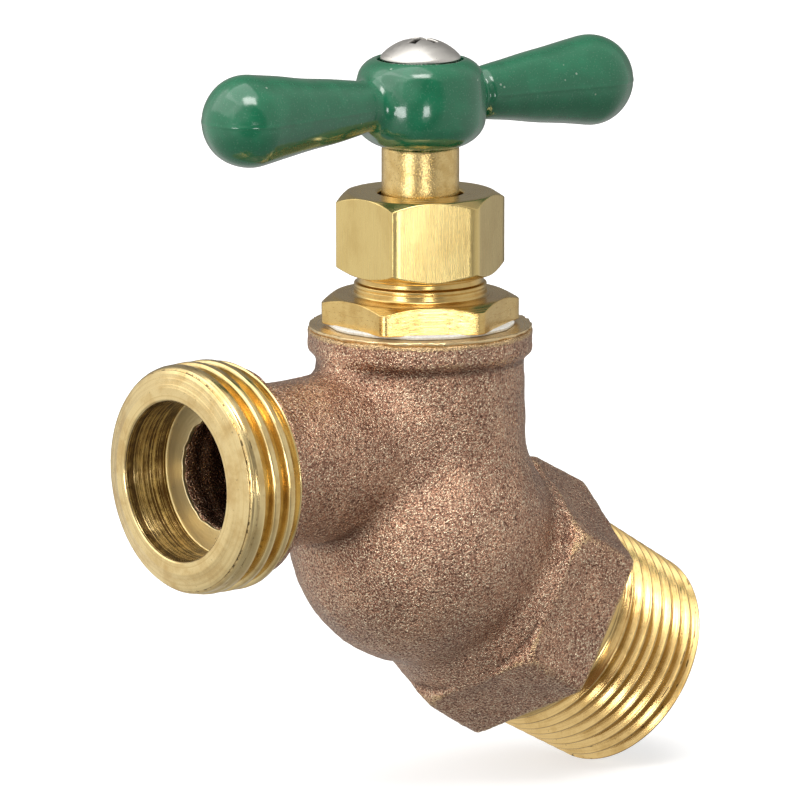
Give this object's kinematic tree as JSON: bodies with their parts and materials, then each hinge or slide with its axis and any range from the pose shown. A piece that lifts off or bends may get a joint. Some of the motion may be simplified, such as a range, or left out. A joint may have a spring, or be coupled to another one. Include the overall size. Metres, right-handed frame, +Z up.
{
  "type": "hose bib",
  "caption": "No-kink garden hose tap: tee handle, compression stem, hose-thread outlet and sloping pipe-thread inlet.",
  "frame": {"origin": "centre of the pipe-thread inlet's end face", "axes": "+Z up along the stem's axis, -X the way the outlet points, the inlet sloping 30 degrees below +X, Y=0 the plane that halves the casting"},
  "size_m": [0.0752, 0.0312, 0.0898],
  "materials": {
    "cast_bronze": "sand-cast bronze, fine rough grain",
    "machined_brass": "machined, satin",
    "stem_brass": "turned, slightly mottled",
    "green_enamel": "glossy enamel",
    "nickel_plate": "bright nickel plate",
    "white_gasket": "matt white sealing ring",
    "graphite_packing": "matt braided packing",
    "black_rubber": "matt black rubber"
  },
  "bodies": {
    "valve": {"body": "cast_bronze", "bonnet": "machined_brass", "bonnet_gasket": "white_gasket", "packing_nut": "machined_brass", "packing_washer": "machined_brass", "packing_ring_lower": "graphite_packing", "packing_ring_middle": "graphite_packing", "packing_ring_upper": "graphite_packing", "packing_gland": "machined_brass"},
    "closing_disc": {"seat_disc": "stem_brass", "seat_washer": "black_rubber", "seat_retainer": "stem_brass", "seat_screw": "stem_brass"},
    "spindle": {"stem": "stem_brass", "handle": "green_enamel", "handle_washer": "nickel_plate", "handle_screw": "nickel_plate"}
  },
  "joints": [
    {"name": "stem_lift", "type": "slide", "parent": "valve", "child": "closing_disc", "axis": [0, 0, 1], "range_m": [0, 0.0064]},
    {"name": "handle_turn", "type": "hinge", "parent": "closing_disc", "child": "spindle", "pos_m": [-0.0323, 0, 0.03113], "axis": [0, 0, 1], "range_deg": [0, 900]}
  ],
  "couplings": [
    {"joint": "stem_lift", "follows": "handle_turn", "m_per_rad": 0.00040425}
  ]
}
